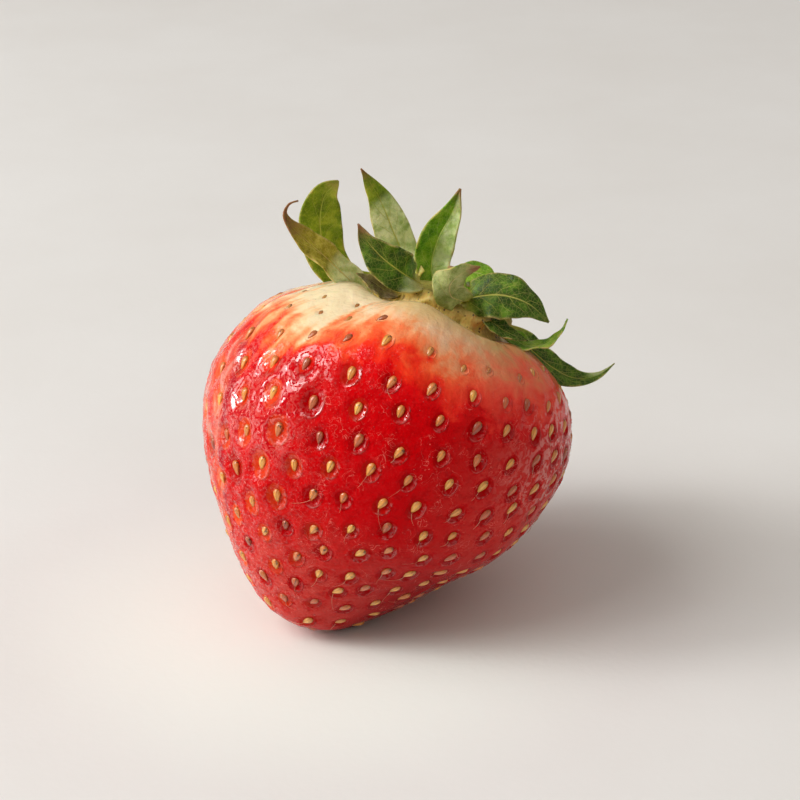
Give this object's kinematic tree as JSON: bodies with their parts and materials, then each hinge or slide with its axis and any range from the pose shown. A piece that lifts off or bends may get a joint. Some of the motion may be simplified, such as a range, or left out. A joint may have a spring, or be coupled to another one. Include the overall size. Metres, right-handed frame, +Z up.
{
  "type": "strawberry",
  "caption": "Ripe strawberry with its green calyx on, leaning as it rests on a small flat spot beside its blunt tip; bumpy red skin paling to cream shoulders.",
  "frame": {"origin": "near the middle of the small flat spot that the berry rests on", "axes": "+Z up from the surface it rests on; +X to the right and +Y to the back as the berry is usually seen; its own axis leans right and back"},
  "size_m": [0.0398, 0.0346, 0.0421],
  "materials": {
    "flesh_skin": "gloss",
    "calyx": "satin",
    "stem": "matte",
    "sepal_leaf": "satin",
    "achene": "satin"
  },
  "bodies": {
    "root": {"flesh": "flesh_skin", "calyx_disc": "calyx", "stem_stub": "stem", "sepal_left_curled": "sepal_leaf", "sepal_left_upright": "sepal_leaf", "sepal_back_tall": "sepal_leaf", "sepal_front_left": "sepal_leaf", "sepal_upright_folded": "sepal_leaf", "sepal_front_curled": "sepal_leaf", "sepal_back_right": "sepal_leaf", "sepal_right_broad": "sepal_leaf", "sepal_right_small": "sepal_leaf", "sepal_right_arched": "sepal_leaf", "sepal_right_long": "sepal_leaf", "sepal_left_small": "sepal_leaf", "sepal_back_small": "sepal_leaf"}
  },
  "joints": []
}
